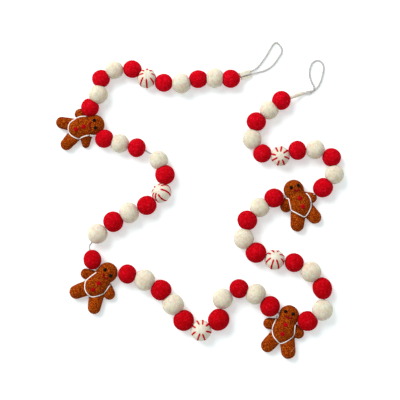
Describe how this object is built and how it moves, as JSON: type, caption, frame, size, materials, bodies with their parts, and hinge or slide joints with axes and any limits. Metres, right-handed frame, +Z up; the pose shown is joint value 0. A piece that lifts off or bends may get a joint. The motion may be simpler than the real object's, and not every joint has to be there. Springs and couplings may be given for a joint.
{
  "type": "felt gingerbread garland",
  "caption": "Long garland of pressed wool-felt balls and gingerbread figures threaded on a cotton string, with a hanging loop at each end, laid in curves on a flat surface.",
  "frame": {"origin": "on the surface on which the garland lies, below the middle of the beads' box", "axes": "+Z up, away from the surface; +Y towards the two hanging loops, which is the top of the picture; +X to the right seen from above"},
  "size_m": [0.4318, 0.4747, 0.0314],
  "materials": {
    "felt_red": "matte hand-rolled wool felt, crimson",
    "felt_cream": "matte hand-rolled wool felt, cream",
    "felt_peppermint": "matte cream wool felt with red stitched rays",
    "felt_gingerbread": "matte needle-felted wool, gingerbread brown",
    "cotton_string": "off-white twisted cotton, matte",
    "bead_black": "small glossy black beads"
  },
  "bodies": {
    "root": {"bead_01_red": "felt_red", "bead_02_cream": "felt_cream", "bead_03_red": "felt_red", "bead_04_cream": "felt_cream", "bead_05_red": "felt_red", "bead_06_peppermint": "felt_peppermint", "bead_07_red": "felt_red", "bead_08_cream": "felt_cream", "bead_09_red": "felt_red", "bead_10_cream": "felt_cream", "bead_11_red": "felt_red", "bead_12_gingerbread": "felt_gingerbread", "bead_13_red": "felt_red", "bead_14_cream": "felt_cream", "bead_15_red": "felt_red", "bead_16_cream": "felt_cream", "bead_17_red": "felt_red", "bead_18_peppermint": "felt_peppermint", "bead_19_red": "felt_red", "bead_20_cream": "felt_cream", "bead_21_red": "felt_red", "bead_22_cream": "felt_cream", "bead_23_red": "felt_red", "bead_24_gingerbread": "felt_gingerbread", "bead_25_red": "felt_red", "bead_26_cream": "felt_cream", "bead_27_red": "felt_red", "bead_28_cream": "felt_cream", "bead_29_red": "felt_red", "bead_30_peppermint": "felt_peppermint", "bead_31_red": "felt_red", "bead_32_cream": "felt_cream", "bead_33_red": "felt_red", "bead_34_cream": "felt_cream", "bead_35_red": "felt_red", "bead_36_gingerbread": "felt_gingerbread", "bead_37_red": "felt_red", "bead_38_cream": "felt_cream", "bead_39_red": "felt_red", "bead_40_cream": "felt_cream", "bead_41_red": "felt_red", "bead_42_peppermint": "felt_peppermint", "bead_43_red": "felt_red", "bead_44_cream": "felt_cream", "bead_45_red": "felt_red", "bead_46_cream": "felt_cream", "bead_47_red": "felt_red", "bead_48_gingerbread": "felt_gingerbread", "bead_49_red": "felt_red", "bead_50_cream": "felt_cream", "bead_51_red": "felt_red", "bead_52_cream": "felt_cream", "bead_53_red": "felt_red", "bead_54_peppermint": "felt_peppermint", "bead_55_red": "felt_red", "bead_56_cream": "felt_cream", "bead_57_red": "felt_red", "bead_58_cream": "felt_cream", "bead_59_red": "felt_red", "string": "cotton_string"}
  },
  "joints": []
}
